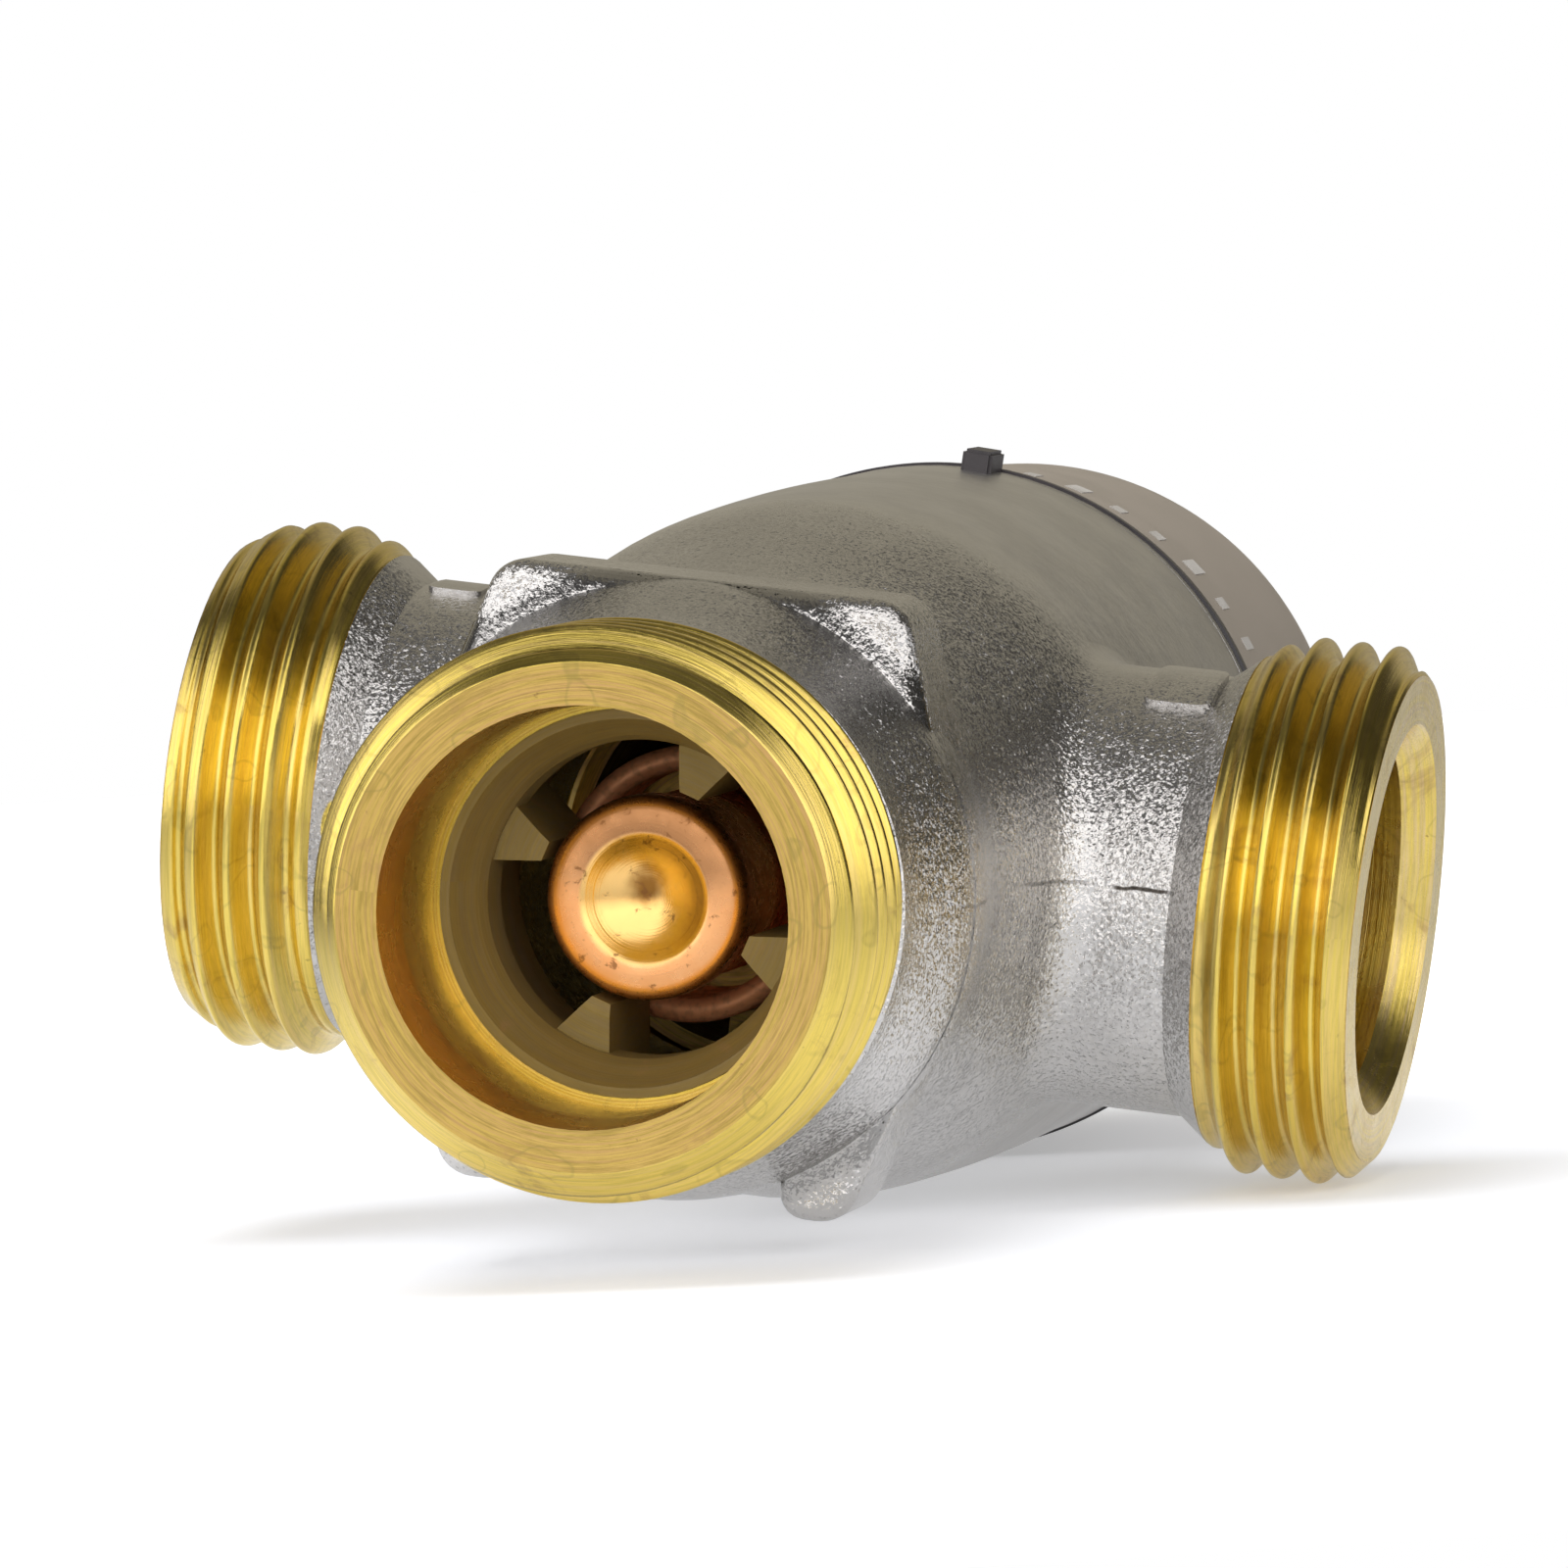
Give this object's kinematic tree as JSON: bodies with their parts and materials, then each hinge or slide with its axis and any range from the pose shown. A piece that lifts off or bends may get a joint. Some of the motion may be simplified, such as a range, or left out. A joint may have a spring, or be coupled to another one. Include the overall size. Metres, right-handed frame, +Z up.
{
  "type": "thermostatic mixing valve",
  "caption": "Three-port thermostatic mixing valve: plated cast body with two in-line threaded side ports, an open axial outlet with wax element, and a domed adjusting cap.",
  "frame": {"origin": "where the common axis of the two side ports crosses the axis of outlet and cap", "axes": "+X out of the right port seen from the outlet's side, -Y out of the mixed outlet, +Y towards the cap, +Z up through the flat of the collar"},
  "size_m": [0.0746, 0.1292, 0.0464],
  "materials": {
    "plated_casting": "satin nickel plate on cast brass, fine grain, with bare machined threads",
    "turned_brass": "machined",
    "copper": "satin",
    "bronze_wire": "drawn wire",
    "steel": "polished",
    "seal_rubber": "smooth",
    "white_plastic": "smooth",
    "black_plastic": "satin",
    "cap_plastic": "satin"
  },
  "bodies": {
    "valve": {"valve_body": "plated_casting", "outlet_guide": "turned_brass", "return_spring": "bronze_wire", "rear_seat": "turned_brass", "bonnet": "turned_brass", "bonnet_o_ring": "seal_rubber", "index_ring": "black_plastic"},
    "knob": {"cap": "cap_plastic", "cap_screw": "steel", "spindle": "turned_brass", "thrust_washer": "white_plastic", "spindle_o_ring": "seal_rubber", "spindle_clip": "steel"},
    "carriage": {"carriage": "turned_brass", "carriage_clip": "steel", "overload_spring": "steel"},
    "plunger": {"overload_cup": "steel", "piston_pin": "steel"},
    "element": {"element_cup": "copper", "element_collar": "turned_brass", "element_guide": "turned_brass", "shuttle": "turned_brass", "shuttle_o_ring": "seal_rubber"}
  },
  "joints": [
    {"name": "knob_turn", "type": "hinge", "parent": "valve", "child": "knob", "pos_m": [0, 0.05, 0], "axis": [0, 1, 0], "range_deg": [-150, 150]},
    {"name": "carriage_slide", "type": "slide", "parent": "valve", "child": "carriage", "axis": [0, 1, 0], "range_m": [-0.00125, 0.00125], "deforming": ["return_spring"]},
    {"name": "element_travel", "type": "slide", "parent": "carriage", "child": "element", "axis": [0, -1, 0], "range_m": [0, 0.0017], "stiffness_N_per_m": 2500, "springref_m": -0.004, "deforming": ["return_spring"]},
    {"name": "overload_slide", "type": "slide", "parent": "carriage", "child": "plunger", "axis": [0, 1, 0], "range_m": [0, 0.0015], "stiffness_N_per_m": 8000, "springref_m": -0.006, "deforming": ["overload_spring"]}
  ],
  "couplings": [
    {"joint": "knob_turn", "follows": "carriage_slide", "rad_per_m": 2094.4}
  ]
}
